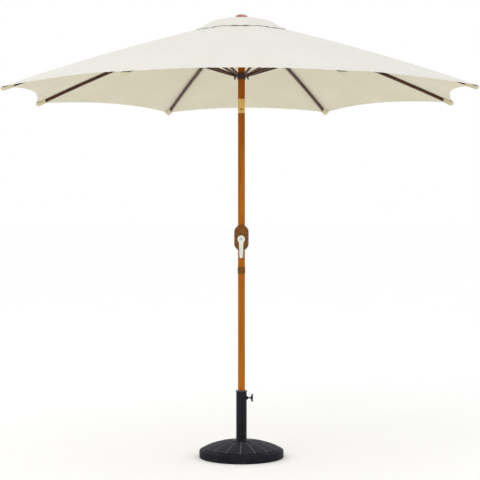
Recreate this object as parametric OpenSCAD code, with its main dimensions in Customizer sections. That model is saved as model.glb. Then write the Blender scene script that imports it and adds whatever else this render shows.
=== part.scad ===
// Market-style patio umbrella on a round weighted base, open and upright.
// Millimetres, +Z up. The origin is on the ground, at the middle of the base.
// The crank faces -Y. Eight ribs stand half a rib step off the X and Y axes.

/* [Canopy] */
// Radius of the canopy at its rib tips
canopy_r = 1304; // [1270:1:1330]
// Slope of each rib's chord below level, in degrees
slope = 17.5; // [17:0.1:18]
// Rise of each rib's bow above its chord
rib_bow = 18; // [17:0.5:20]
// Depth that the hem curves inward between two rib tips
scallop = 78; // [40:1:100]
// Radius of the vent hole in the main canopy
vent_hole_r = 150; // [130:1:180]
// Radius of the vent cap that covers the hole
vent_cap_r = 250; // [235:1:270]
// Height of the vent cap's fabric at the crown
crown_h = 2376; // [2375.5:0.1:2376.5]
// Thickness of the fabric
fabric_t = 1.2; // [0.8:0.1:1.5]

/* [Frame] */
// Height of the rib pivots in the top hub
hub_h = 2350; // [2349:0.5:2350]
// Height of the stretcher pivots in the open runner
runner_h = 2065; // [2055:1:2075]
// Distance of every hub and runner pivot from the pole's axis
pivot_r = 34; // [33.5:0.1:35]
// Depth of a rib's tube
rib_depth = 16; // [14:0.5:16]
// Width of a rib's tube
rib_width = 10; // [9:0.5:10]
// Depth of a stretcher's tube
stretcher_depth = 12; // [10:0.5:12]
// Width of a stretcher's tube
stretcher_width = 8; // [7.5:0.5:8]
// Wall of the rib and stretcher tubes
bar_wall = 1; // [0.8:0.1:1.2]

/* [Pole] */
// Outer diameter of the pole
pole_d = 38; // [37.8:0.1:38]
// Wall of the pole's tubes
pole_wall = 1.6; // [1.4:0.1:1.6]
// Height of the joint between the lower and middle pole
joint_h = 1011; // [950:1:1060]
// Height of the tilt pin
tilt_h = 1896; // [1890:1:1900]
// Diameter of the tilt knuckle
knuckle_d = 38.6; // [38.4:0.1:38.6]

/* [Crank] */
// Height of the crank's shaft
crank_h = 1181; // [1150:1:1210]
// Width of the crank housing
housing_w = 78; // [76:1:84]
// Height of the crank housing
housing_l = 140; // [130:1:150]
// Depth of the housing in front of the pole's axis
housing_front = 38; // [36:1:40]
// Depth of the housing behind the pole's axis
housing_back = 30; // [28:1:34]
// Distance from the shaft to the finger knob
arm_l = 93; // [85:1:100]

/* [Base] */
// Diameter of the base
base_d = 457; // [430:1:480]
// Height of the base's rim
rim_h = 42; // [36:1:46]
// Height of the top of the dome, where the flange sits
dome_h = 88; // [84:1:92]
// Diameter of the flange around the tube
flange_d = 98; // [92:1:104]
// Outer diameter of the base tube
tube_d = 58; // [57:0.5:60]
// Height of the top of the base tube
tube_h = 354; // [345:1:365]
// Height of the clamp screw
clamp_h = 320; // [310:1:321]

/* [Hidden] */
$fn = 64;

// clearances: between pieces that only lie together, in a running fit, and under the taut fabric
gap = 0.3;
fit = 0.05;
fabric_gap = 1.5;
// overshoot of a cutting tool past the face that it opens
cut = 1;

// ribs: count, angle from one rib to the next, and half of that
rib_n = 8;
rib_step = 360 / rib_n;
half_step = rib_step / 2;

// the rib's axis is an arc from the hub pivot to the tip
rib_chord = (canopy_r - pivot_r) / cos(slope);
arc_r = rib_chord * rib_chord / (8 * rib_bow) + rib_bow / 2;
arc_half = asin(rib_chord / 2 / arc_r);
rib_length = arc_r * 2 * arc_half * PI / 180;
arc_cx = (canopy_r + pivot_r) / 2 - arc_r * cos(arc_half) * sin(slope);
arc_cz = hub_h - rib_chord / 2 * sin(slope) - arc_r * cos(arc_half) * cos(slope);

// the stretcher is as long as the rib's inner part, so the two fold as an isosceles pair
stretcher_l = (hub_h - runner_h) / (2 * sin(slope));
elbow_x = pivot_r + stretcher_l * cos(slope);
elbow_z = hub_h - stretcher_l * sin(slope);
elbow_phi = asin((stretcher_l - rib_chord / 2) / arc_r);
elbow_rise = arc_r * (cos(elbow_phi) - cos(arc_half));

// pins, eyes and end fittings of the bars
pin_r = 2;
eye_r = 6;
eye_w = 6;
slot_w = 6.6;
tube_start = 22;
plug_l = 20;
plug_gap = 0.15;
ear_t = 1.5;
tip_l = 7;
nose_r = 3;
prong_l = 20;

pole_r = pole_d / 2;
pole_in = pole_r - pole_wall;
knuckle_r = knuckle_d / 2;
foot_z = 98.3;
spigot_l = 110;
sleeve_h = 37;

// tilt knuckle
tongue_w = 15.9;
cheek_gap = 16.1;
knuckle_bottom = tilt_h - 34;
knuckle_top = tilt_h + 43;
knuckle_plug = 31;
tilt_pin_r = 3;
button_h = tilt_h + 30;
button_r = 6;
button_deep = 14;

// lift cord: inside run, outside run, and the pulley that joins them
cord_r = 1.25;
cord_in = 7;
cord_out = 23;
cord_bore = 2.6;
pulley_r = (cord_out - cord_in) / 2;
pulley_y = (cord_out + cord_in) / 2;
pulley_w = 6;
pulley_flange = 2;
pulley_pin_r = 1.5;
knot_r = 2.6;

// hub and runner
hub_r = 42;
core_r = 27.5;
hub_low = hub_h - 14;
hub_high = hub_h + 14;
crown_boss_r = 20;
stud_r = 3;
runner_bore = 20.2;
barrel_r = 22.4;
runner_low = runner_h - 8;
runner_high = runner_h + 8;

// crank
shaft_r = 4;
bush_r = 6.5;
shaft_front = 50;
shaft_back = 24;
spool_half = 10;
drum_r = 8.4;
winding_r = 10.9;
spool_flange_r = 12.5;
shell_t = 3;
arm_back = 44;
arm_front = 52;
arm_hub_r = 20;
arm_end_r = 9.5;
knob_r = 8.5;
knob_l = 27;
knob_pin_r = 2.5;
housing_mid = crank_h + 6;
screw_x = 29;
screw_z = 34;

// base
base_r = base_d / 2;
resin_t = 5;
lip_w = 28;
lip_t = 4;
column_r = 21;
recess_h = 18;
tube_r = tube_d / 2;
tube_in = tube_r - 2;
bolt_r = 5;
bolt_flange_r = 13;
bolt_hex_r = 9;
flange_t = 7.5;
ring_t = 7;
ring_lip = 3;
ring_sleeve = 24;
clamp_r = 4;
pad_r = 6;
pad_t = 3.7;
clamp_out = 64;
wing_reach = 16;

// point and direction on the rib's arc, where phi is the angle from its middle
function phi_at(s) = s / arc_r * 180 / PI - arc_half;
function arc_x(phi, h = 0) = arc_cx + (arc_r + h) * sin(slope + phi);
function arc_z(phi, h = 0) = arc_cz + (arc_r + h) * cos(slope + phi);

// a panel's point: s along the rib, w from -1 to 1 across to the seams, h above the rib's axis
function seam_y(x) = x * sin(half_step) * cos(half_step) - gap;
function across(x, w, z) =
    let (y = w * seam_y(x))
    [x - abs(y) * tan(half_step), y, z];
function panel_point(s, w, h) =
    let (phi = phi_at(s))
    across(arc_x(phi, h), w, arc_z(phi, h));
function hem_s(w) = rib_length - scallop / cos(slope) * (2 * abs(w) - w * w);
function cap_z(x) = crown_h - max(0, x - 30) * 66 / 220;

module at_rib(i) rotate([0, 0, half_step + rib_step * (i - 1)]) children();
module on_rib(phi) translate([arc_x(phi), 0, arc_z(phi)]) rotate([0, slope + phi, 0]) children();
module on_stretcher() translate([pivot_r, 0, runner_h]) rotate([0, -slope, 0]) children();

// round bars along each axis, from one coordinate to another
module bar_x(r, x0, x1) translate([x0, 0, 0]) rotate([0, 90, 0]) cylinder(r = r, h = x1 - x0);
module bar_y(r, y0, y1) translate([0, y0, 0]) rotate([-90, 0, 0]) cylinder(r = r, h = y1 - y0);
module bar_z(r, z0, z1) translate([0, 0, z0]) cylinder(r = r, h = z1 - z0);
module block(lo, hi) translate(lo) cube(hi - lo);
// box along X from span[0] to span[1], centred on the X axis
module centred(span, depth, width)
    block([span[0], -width / 2, -depth / 2], [span[1], width / 2, depth / 2]);
module tube_z(r, inner, z0, z1)
    difference() {
        bar_z(r, z0, z1);
        bar_z(inner, z0 - cut, z1 + cut);
    }

// closed thin solid between two equal grids of points, rows outward and columns sideways
module sheet_solid(top, bottom) {
    rows = len(top);
    cols = len(top[0]);
    n = rows * cols;
    points = concat([for (row = top) each row], [for (row = bottom) each row]);
    faces = concat(
        [for (i = [0:rows - 2], j = [0:cols - 2])
            [i * cols + j, i * cols + j + 1, (i + 1) * cols + j + 1]],
        [for (i = [0:rows - 2], j = [0:cols - 2])
            [i * cols + j, (i + 1) * cols + j + 1, (i + 1) * cols + j]],
        [for (i = [0:rows - 2], j = [0:cols - 2])
            [n + i * cols + j, n + (i + 1) * cols + j + 1, n + i * cols + j + 1]],
        [for (i = [0:rows - 2], j = [0:cols - 2])
            [n + i * cols + j, n + (i + 1) * cols + j, n + (i + 1) * cols + j + 1]],
        [for (j = [0:cols - 2]) [j + 1, j, n + j]],
        [for (j = [0:cols - 2]) [j + 1, n + j, n + j + 1]],
        [for (j = [0:cols - 2], a = n - cols + j) [a, a + 1, n + a + 1]],
        [for (j = [0:cols - 2], a = n - cols + j) [a, n + a + 1, n + a]],
        [for (i = [0:rows - 2], a = i * cols) [a, a + cols, n + a + cols]],
        [for (i = [0:rows - 2], a = i * cols) [a, n + a + cols, n + a]],
        [for (i = [0:rows - 2], a = i * cols + cols - 1) [a + cols, a, n + a]],
        [for (i = [0:rows - 2], a = i * cols + cols - 1) [a + cols, n + a, n + a + cols]]
    );
    polyhedron(points, faces);
}

// ---- base ----

// outline of the dome from the rim's shoulder up to the flange seat, drawn in by t
function dome_point(f, t) =
    let (r0 = base_r - 7, r1 = flange_d / 2 - 2, z0 = rim_h, z1 = dome_h)
    [r0 + (r1 - r0) * f, z0 + (z1 - z0) * (f + 0.22 * sin(180 * f)) - t];

module dome_profile(t, low, hole) {
    edge = base_r - t;
    polygon(concat(
        [[hole, low], [edge, low], [edge, rim_h - 7 - t / 2]],
        [for (f = [0:0.125:1]) [min(edge, dome_point(f, t)[0]), dome_point(f, t)[1]]],
        [[hole, dome_h - t]]
    ));
}

module base_shell()
    color([0.17, 0.17, 0.19])
        difference() {
            rotate_extrude() dome_profile(0, 0, bolt_r + 1);
            difference() {
                rotate_extrude() dome_profile(resin_t, lip_t, 0);
                bar_z(column_r, -cut, dome_h);
            }
            bar_z(base_r - lip_w, -cut, lip_t + cut);
            bar_z(bolt_flange_r + 3, -cut, recess_h);
        }

module base_ballast()
    color([0.6, 0.6, 0.58])
        difference() {
            rotate_extrude() dome_profile(resin_t + gap, lip_t + gap, 0);
            bar_z(column_r + gap, -cut, dome_h);
        }

module base_bolt()
    color([0.6, 0.61, 0.63])
        difference() {
            union() {
                bar_z(bolt_r, recess_h - 3, dome_h + 8);
                bar_z(bolt_flange_r, recess_h - 3, recess_h - gap);
                translate([0, 0, recess_h - 11]) cylinder(r = bolt_hex_r, h = 9, $fn = 6);
            }
            bar_z(bolt_r - 1, 0, recess_h - 10);
        }

module base_flange()
    color([0.12, 0.12, 0.14])
        rotate_extrude()
            polygon([
                [tube_r + fit, dome_h + gap],
                [flange_d / 2, dome_h + gap],
                [flange_d / 2, dome_h + 4],
                [flange_d / 2 - 3, dome_h + flange_t],
                [tube_r + 3, dome_h + flange_t],
                [tube_r + 2, dome_h + flange_t + 4],
                [tube_r + fit, dome_h + flange_t + 4]
            ]);

module base_tube()
    color([0.1, 0.1, 0.12])
        difference() {
            union() {
                tube_z(tube_r, tube_in, dome_h + gap, tube_h);
                translate([0, 0, clamp_h])
                    difference() {
                        union() {
                            bar_x(10, tube_r - 3, tube_r + 2);
                            translate([tube_r + 2, 0, 0]) rotate([0, 90, 0]) cylinder(r1 = 10, r2 = 6.5, h = 6);
                        }
                        bar_z(tube_in, -2 * pad_r, 2 * pad_r);
                    }
            }
            translate([0, 0, clamp_h]) bar_x(clamp_r + fit, tube_in - 4, tube_r + 10);
        }

module tube_plug()
    color([0.35, 0.35, 0.37])
        difference() {
            bar_z(tube_in - fit, dome_h + gap, foot_z - gap);
            bar_z(bolt_r + fit, dome_h - cut, foot_z + cut);
        }

module reducer_ring()
    color([0.16, 0.17, 0.2])
        difference() {
            union() {
                bar_z(tube_in - fit, tube_h - ring_sleeve, tube_h + gap + fit);
                bar_z(tube_r + ring_lip, tube_h + gap, tube_h + ring_t);
            }
            bar_z(pole_r + fit, 0, tube_h + 2 * ring_t);
        }

// ---- clamp screw, along +X ----

module clamp_pad()
    color([0.25, 0.25, 0.27])
        translate([0, 0, clamp_h])
            difference() {
                bar_x(pad_r, pole_r + gap, pole_r + gap + pad_t);
                bar_x(clamp_r + fit, pole_r + gap + 1.5, pole_r + 10);
            }

module clamp_screw()
    color([0.55, 0.56, 0.58])
        translate([0, 0, clamp_h]) bar_x(clamp_r, pole_r + gap + 1.7, clamp_out - 6);

module clamp_knob()
    color([0.09, 0.09, 0.1])
        translate([0, 0, clamp_h])
            difference() {
                union() {
                    bar_x(9.5, clamp_out - 15, clamp_out - 2);
                    translate([clamp_out - 10, -3.5, -wing_reach]) cube([9, 7, 2 * wing_reach]);
                    for (side = [-1, 1])
                        translate([0, 0, side * wing_reach]) bar_x(6, clamp_out - 10, clamp_out);
                }
                bar_x(clamp_r + fit, 0, clamp_out - 6 + fit);
            }

// ---- poles ----

module lower_pole() color([0.72, 0.42, 0.07]) tube_z(pole_r, pole_in, foot_z, joint_h);

module joint_sleeve()
    color([0.35, 0.25, 0.1])
        tube_z(pole_r + 1.3, pole_r + fit, joint_h - sleeve_h / 2, joint_h + sleeve_h / 2);

module mid_pole()
    color([0.66, 0.33, 0.05])
        difference() {
            union() {
                bar_z(pole_r, joint_h + gap, knuckle_bottom);
                bar_z(pole_in - fit, joint_h - spigot_l, joint_h + cut);
            }
            bar_z(pole_in - 2, 0, joint_h + 3);
            bar_z(pole_in, joint_h + 2, knuckle_bottom + cut);
            translate([0, 0, crank_h]) bar_y(bush_r + fit, -pole_d, pole_d);
        }

module upper_pole() color([0.55, 0.23, 0.05]) tube_z(pole_r, pole_in, knuckle_top, hub_low - gap);

// ---- crank, on a shaft along Y ----

module capsule(r) {
    run = housing_l / 2 - housing_w / 2;
    translate([-r, -run]) square([2 * r, 2 * run]);
    for (side = [-1, 1]) translate([0, side * run]) circle(r);
}
module housing_slab(r, y0, y1)
    translate([0, y1, housing_mid]) rotate([90, 0, 0]) linear_extrude(y1 - y0) capsule(r);
module at_screws()
    for (x = [-screw_x, screw_x], z = [-screw_z, screw_z])
        translate([x, 0, housing_mid + z]) children();

module crank_front_shell()
    color([0.42, 0.23, 0.1])
        difference() {
            union() {
                difference() {
                    union() {
                        housing_slab(housing_w / 2, 6 - housing_front, -gap / 2);
                        housing_slab(housing_w / 2 - 5, -housing_front, 7 - housing_front);
                    }
                    housing_slab(housing_w / 2 - shell_t - 5, shell_t - housing_front, cut);
                    housing_slab(housing_w / 2 - shell_t, 6 + shell_t - housing_front, cut);
                }
                at_screws() bar_y(4.5, shell_t + 5 - housing_front, -gap / 2);
            }
            bar_z(pole_r + fit, crank_h - housing_l, crank_h + housing_l);
            at_screws() bar_y(1.6, -18, cut);
            translate([0, 0, crank_h]) bar_y(shaft_r + 1, -2 * housing_front, 0);
        }

module crank_rear_shell()
    color([0.42, 0.23, 0.1])
        difference() {
            union() {
                difference() {
                    housing_slab(housing_w / 2, gap / 2, housing_back);
                    housing_slab(housing_w / 2 - shell_t, -cut, housing_back - shell_t);
                }
                at_screws() bar_y(5, gap / 2, housing_back - shell_t + cut);
            }
            bar_z(pole_r + fit, crank_h - housing_l, crank_h + housing_l);
            at_screws() bar_y(1.8, -cut, housing_back + cut);
            at_screws() bar_y(3.6, housing_back - 4, housing_back + cut);
        }

module shell_screws()
    color([0.3, 0.28, 0.25])
        at_screws() {
            bar_y(1.5, -16, housing_back - 3.9);
            difference() {
                bar_y(3.5, housing_back - 3.9, housing_back - 0.5);
                translate([-0.4, housing_back - 1.5, -3]) cube([0.8, 2, 6]);
            }
        }

module shaft_bushes()
    color([0.85, 0.84, 0.78])
        translate([0, 0, crank_h])
            for (side = [0, 180])
                rotate([0, 0, side])
                    difference() {
                        union() {
                            bar_y(bush_r, pole_in - 2.5, pole_r + 1);
                            bar_y(bush_r + 2, pole_r + fit, pole_r + 2);
                        }
                        bar_y(shaft_r + fit, 0, 2 * pole_r);
                    }

module crank_shaft()
    color([0.62, 0.63, 0.65])
        translate([0, 0, crank_h])
            difference() {
                bar_y(shaft_r, -shaft_front, shaft_back);
                bar_y(2, -shaft_front - cut, -shaft_front + 14);
            }

module cord_spool() {
    translate([0, 0, crank_h]) {
        color([0.2, 0.2, 0.22])
            difference() {
                union() {
                    bar_y(drum_r, -spool_half, spool_half);
                    bar_y(spool_flange_r, -spool_half, 1.5 - spool_half);
                    bar_y(spool_flange_r, spool_half - 1.5, spool_half);
                }
                bar_y(shaft_r + fit, -2 * spool_half, 2 * spool_half);
            }
        color([0.9, 0.9, 0.86])
            difference() {
                bar_y(winding_r, 1.6 - spool_half, spool_half - 1.6);
                bar_y(drum_r + fit, -2 * spool_half, 2 * spool_half);
            }
    }
}

module crank_arm()
    color([0.86, 0.89, 0.87])
        translate([0, 0, crank_h])
            difference() {
                union() {
                    bar_y(arm_hub_r, -arm_front - 2, -arm_back);
                    bar_y(8, -arm_back - cut, 2 - arm_back);
                    translate([0, -arm_back - 1, 0]) rotate([90, 0, 0]) linear_extrude(arm_front - arm_back)
                        polygon([[-13, 0], [13, 0], [arm_end_r, -arm_l], [-arm_end_r, -arm_l]]);
                    translate([0, 0, -arm_l]) bar_y(arm_end_r, -arm_front - 1, -arm_back - 1);
                    translate([0, 0, -arm_l]) bar_y(knob_pin_r, -arm_front - knob_l + 2, -arm_back - 1);
                }
                bar_y(shaft_r + fit, -shaft_front - fit, 0);
                bar_y(2 + fit, -2 * shaft_front, 0);
                bar_y(14, -2 * shaft_front, -arm_front - 1);
            }

module crank_screw()
    color([0.7, 0.71, 0.72])
        translate([0, 0, crank_h])
            difference() {
                union() {
                    bar_y(1.95, -arm_front - 1.2, -shaft_front + 12);
                    bar_y(4.5, -arm_front - 4.5, -arm_front - 1.1);
                }
                bar_y(1.2, -arm_front - 5.5, -arm_front - 2.6);
            }

module crank_knob()
    color([0.86, 0.89, 0.87])
        translate([0, 0, crank_h - arm_l])
            difference() {
                union() {
                    bar_y(knob_r, -arm_front - knob_l + 2, -arm_front - 1 - gap);
                    bar_y(knob_r - 2, -arm_front - knob_l - 1, -arm_front - knob_l + 3);
                }
                bar_y(knob_pin_r + fit, -arm_front - knob_l + 2 - gap, 0);
            }

// ---- tilt knuckle: the pin lies along X ----

module tilt_clevis()
    color([0.87, 0.72, 0.38])
        difference() {
            union() {
                bar_z(knuckle_r, knuckle_bottom + gap / 2, tilt_h);
                bar_z(pole_in - fit, knuckle_bottom - knuckle_plug, knuckle_bottom + cut);
                intersection() {
                    translate([0, 0, tilt_h]) bar_x(knuckle_r, -knuckle_r, knuckle_r);
                    bar_z(knuckle_r, tilt_h - cut, knuckle_top);
                }
            }
            block([-cheek_gap / 2, -2 * knuckle_r, tilt_h - 17], [cheek_gap / 2, 2 * knuckle_r, knuckle_top]);
            translate([0, 0, tilt_h]) bar_x(tilt_pin_r + fit, -2 * knuckle_r, 2 * knuckle_r);
            translate([0, cord_in, 0]) bar_z(cord_bore, knuckle_bottom - 2 * knuckle_plug, tilt_h);
        }

module tilt_pin()
    color([0.7, 0.62, 0.4])
        translate([0, 0, tilt_h]) bar_x(tilt_pin_r, 0.6 - knuckle_r, knuckle_r - 0.6);

module tilt_tongue()
    color([0.82, 0.66, 0.33])
        difference() {
            union() {
                intersection() {
                    block([-tongue_w / 2, -knuckle_r, tilt_h], [tongue_w / 2, knuckle_r, knuckle_top - cut]);
                    bar_z(knuckle_r, tilt_h - cut, knuckle_top);
                }
                translate([0, 0, tilt_h]) bar_x(16, -tongue_w / 2, tongue_w / 2);
                difference() {
                    bar_z(knuckle_r, tilt_h + 6, knuckle_top - gap / 2);
                    translate([0, 0, tilt_h]) bar_x(knuckle_r + 0.6, -2 * knuckle_r, 2 * knuckle_r);
                }
                bar_z(pole_in - fit, knuckle_top - cut, knuckle_top + knuckle_plug);
            }
            translate([0, 0, tilt_h]) bar_x(tilt_pin_r + fit, -knuckle_r, knuckle_r);
            translate([0, cord_in, 0]) bar_z(cord_bore, tilt_h - 2 * knuckle_r, knuckle_top + 2 * knuckle_plug);
            translate([0, 0, button_h]) bar_y(button_r + 0.1, -2 * knuckle_r, button_deep - knuckle_r);
        }

module tilt_button()
    color([0.75, 0.6, 0.3])
        translate([0, 0, button_h])
            difference() {
                bar_y(button_r, -knuckle_r - 0.4, 4.5 - knuckle_r);
                bar_y(3.2, 2.5 - knuckle_r, 6 - knuckle_r);
            }

module button_spring()
    color([0.6, 0.6, 0.62])
        translate([0, 2.7 - knuckle_r, button_h])
            rotate([-90, 0, 0]) tube_z(2.9, 2.1, 0, button_deep - 3);

// ---- hub, pulley, finial and runner ----

module rib_slots(z0, z1, inner)
    for (i = [1:rib_n])
        at_rib(i) block([inner, -slot_w / 2, z0], [hub_r + cut, slot_w / 2, z1]);
module pivot_pins(z, r, half)
    for (i = [1:rib_n])
        at_rib(i) translate([pivot_r, 0, z]) bar_y(r, -half, half);

module top_hub()
    color([0.2, 0.14, 0.12])
        difference() {
            union() {
                bar_z(hub_r, hub_low, hub_high);
                bar_z(crown_boss_r, hub_high - cut, crown_h - cut);
                bar_z(pole_in - fit, hub_low - 36, hub_low + cut);
            }
            rib_slots(hub_low - cut, hub_high + cut, core_r);
            pivot_pins(hub_h, pin_r + fit, 9);
            block([-3.4, cord_in - pulley_flange - 0.6, hub_low - cut],
                [3.4, cord_out + pulley_flange + 0.5, hub_high - 3]);
            translate([0, pulley_y, hub_h]) bar_x(pulley_pin_r + fit, -9, 9);
            translate([0, cord_in, 0]) bar_z(cord_bore, hub_low - 50, hub_h);
            bar_z(stud_r + fit, hub_h - 8, crown_h + cut);
        }

module hub_pins() color([0.55, 0.55, 0.57]) pivot_pins(hub_h, pin_r, 8.8);

module top_pulley()
    color([0.85, 0.85, 0.82])
        translate([0, pulley_y, hub_h])
            union() {
                rotate([0, 90, 0])
                    rotate_extrude()
                        polygon([
                            [0, -pulley_w / 2],
                            [pulley_r + pulley_flange, -pulley_w / 2],
                            [pulley_r + pulley_flange, 0.8 - pulley_w / 2],
                            [pulley_r - cord_r - 0.1, -cord_r],
                            [pulley_r - cord_r - 0.1, cord_r],
                            [pulley_r + pulley_flange, pulley_w / 2 - 0.8],
                            [pulley_r + pulley_flange, pulley_w / 2],
                            [0, pulley_w / 2]
                        ]);
                bar_x(pulley_pin_r, -8.8, 8.8);
            }

module finial()
    color([0.72, 0.5, 0.42]) {
        translate([0, 0, crown_h + 2.4])
            rotate_extrude()
                polygon(concat(
                    [[0, 0], [33, 0]],
                    [for (a = [0:15:90]) [2 + 33 * cos(a), 4 + 14.6 * sin(a)]],
                    [[0, 18.6]]
                ));
        bar_z(stud_r, hub_h - 6, crown_h + 3);
    }

module runner()
    color([0.2, 0.14, 0.12])
        difference() {
            union() {
                bar_z(hub_r, runner_low, runner_high);
                bar_z(barrel_r, runner_h - 20, runner_h + 15);
            }
            bar_z(runner_bore, runner_h - 40, runner_h + 40);
            rib_slots(runner_low - cut, runner_high + cut, core_r);
            pivot_pins(runner_h, pin_r + fit, 9);
            translate([0, cord_out, 0]) bar_z(cord_r + 0.2, runner_low - cut, runner_h + 40);
            block([-3.4, runner_bore - 2, runner_h - 30], [3.4, barrel_r + 2, runner_low]);
        }

module runner_pins() color([0.55, 0.55, 0.57]) pivot_pins(runner_h, pin_r, 8.8);

// ---- lift cord ----

module lift_cord_lower() {
    start = [winding_r + cord_r + 0.1, 0, crank_h];
    end = [0, cord_in, tilt_h - 17];
    run = norm(end - start);
    lean = acos((end - start)[2] / run);
    turn = atan2((end - start)[1], (end - start)[0]);
    color([0.9, 0.9, 0.86])
        translate(start) rotate([0, lean, turn]) cylinder(r = cord_r, h = run);
}

module lift_cord_upper()
    color([0.9, 0.9, 0.86]) {
        translate([0, cord_in, 0]) bar_z(cord_r, tilt_h - 12, hub_h - fit);
        translate([0, cord_out, 0]) bar_z(cord_r, runner_h - 11, hub_h - fit);
        translate([0, pulley_y, hub_h])
            rotate([90, 0, 90])
                rotate_extrude(angle = 180) translate([pulley_r, 0]) circle(cord_r);
        translate([0, cord_out, runner_low - knot_r - 0.4]) sphere(knot_r);
    }

// ---- ribs and stretchers ----

module bar_section(depth, width)
    difference() {
        square([depth, width], center = true);
        square([depth - 2 * bar_wall, width - 2 * bar_wall], center = true);
    }

module rib_tube() {
    from = phi_at(tube_start);
    to = phi_at(rib_length - tip_l);
    difference() {
        translate([arc_cx, 0, arc_cz])
            rotate([90, 0, 0])
                rotate([0, 0, 90 - slope - to])
                    rotate_extrude(angle = to - from, $fn = 720)
                        translate([arc_r, 0]) bar_section(rib_depth, rib_width);
        on_rib(elbow_phi) bar_y(pin_r + fit, -rib_width, rib_width);
    }
}

module rib_root()
    on_rib(-arc_half)
        difference() {
            union() {
                bar_y(eye_r, -eye_w / 2, eye_w / 2);
                block([0, -eye_w / 2, 1 - eye_r], [tube_start + 1, eye_w / 2, eye_r - 1]);
                block([tube_start - 2, -rib_width / 2, -rib_depth / 2], [tube_start - 0.2, rib_width / 2, rib_depth / 2]);
                centred([tube_start - 1, tube_start + plug_l],
                    rib_depth - 2 * (bar_wall + plug_gap), rib_width - 2 * (bar_wall + plug_gap));
            }
            bar_y(pin_r + fit, -rib_width, rib_width);
        }

module rib_tip()
    on_rib(arc_half)
        union() {
            centred([-tip_l - plug_l, -tip_l + 1],
                rib_depth - 2 * (bar_wall + plug_gap), rib_width - 2 * (bar_wall + plug_gap));
            centred([-tip_l + 0.2, -nose_r], rib_depth, rib_width);
            translate([-nose_r, 0, 0]) bar_y(nose_r, -rib_width / 2, rib_width / 2);
        }

// saddle under the rib: its two ears hold the stretcher's rivet
module rib_saddle() {
    inner = rib_width / 2 + 0.2;
    outer = inner + ear_t;
    web_z = elbow_rise - rib_depth / 2 - 0.2;
    translate([elbow_x, 0, elbow_z])
        rotate([0, slope, 0]) {
            difference() {
                union() {
                    for (side = [0, 180])
                        rotate([0, 0, side]) {
                            block([-eye_r, inner, 0], [eye_r, outer, elbow_rise + 5]);
                            bar_y(eye_r, inner, outer);
                        }
                    block([-eye_r, -outer, web_z - 1], [eye_r, outer, web_z]);
                }
                bar_y(pin_r + fit, -rib_width, rib_width);
                translate([0, 0, elbow_rise]) bar_y(pin_r + fit, -rib_width, rib_width);
            }
            rivet(outer + 0.1);
            translate([0, 0, elbow_rise]) rivet(outer + 0.1);
        }
}

module rivet(half)
    union() {
        bar_y(pin_r, -half - 0.5, half + 0.5);
        bar_y(pin_r + 1.4, -half - 1.2, -half);
        bar_y(pin_r + 1.4, half, half + 1.2);
    }

module rib(i)
    color([0.3, 0.2, 0.19])
        at_rib(i) {
            rib_tube();
            rib_root();
            rib_tip();
            rib_saddle();
        }

module end_fitting(width, length)
    union() {
        bar_y(eye_r, -width / 2, width / 2);
        block([0, -width / 2, 1 - eye_r], [length + 1, width / 2, eye_r - 1]);
        centred([length, length + plug_l],
            stretcher_depth - 2 * (bar_wall + plug_gap), stretcher_width - 2 * (bar_wall + plug_gap));
    }

module stretcher(i)
    color([0.3, 0.2, 0.19])
        at_rib(i)
            on_stretcher() {
                translate([tube_start + 1.1, 0, 0])
                    rotate([90, 0, 90])
                        linear_extrude(stretcher_l - 2 * tube_start - 2.2)
                            rotate(90) bar_section(stretcher_depth, stretcher_width);
                difference() {
                    union() {
                        end_fitting(eye_w, tube_start);
                        block([-3, 0.3 - eye_w / 2, -prong_l], [3, eye_w / 2 - 0.3, -3]);
                    }
                    bar_y(pin_r + fit, -eye_w, eye_w);
                }
                translate([stretcher_l, 0, 0]) rotate([0, 0, 180])
                    difference() {
                        end_fitting(stretcher_width - 0.4, tube_start);
                        bar_y(pin_r + fit, -eye_w, eye_w);
                    }
            }

// ---- fabric: the panel over one rib, out to the seams on both sides, and its part of the cap ----

module canopy_panel(i) {
    low = rib_depth / 2 + fabric_gap;
    start = (vent_hole_r - pivot_r) / cos(slope);
    cols = [-1:0.25:1];
    rows = [0, 0.17, 0.34, 0.5, 0.65, 0.79, 0.91, 1];
    cap_rows = [10, 30, 100, 175, vent_cap_r];
    color([0.93, 0.93, 0.89])
        at_rib(i) {
            sheet_solid(
                [for (f = rows) [for (w = cols) panel_point(start + f * (hem_s(w) - start), w, low + fabric_t)]],
                [for (f = rows) [for (w = cols) panel_point(start + f * (hem_s(w) - start), w, low)]]
            );
            sheet_solid(
                [for (x = cap_rows) [for (w = cols) across(x, w, cap_z(x) + fabric_t)]],
                [for (x = cap_rows) [for (w = cols) across(x, w, cap_z(x))]]
            );
        }
}

base_shell();
base_ballast();
base_bolt();
base_flange();
base_tube();
tube_plug();
reducer_ring();
clamp_pad();
clamp_screw();
clamp_knob();
lower_pole();
joint_sleeve();
mid_pole();
crank_front_shell();
crank_rear_shell();
shell_screws();
shaft_bushes();
crank_shaft();
cord_spool();
crank_arm();
crank_screw();
crank_knob();
tilt_clevis();
tilt_pin();
tilt_tongue();
tilt_button();
button_spring();
upper_pole();
top_hub();
hub_pins();
top_pulley();
finial();
lift_cord_lower();
lift_cord_upper();
runner();
runner_pins();
for (i = [1:rib_n]) {
    rib(i);
    stretcher(i);
    canopy_panel(i);
}
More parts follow.
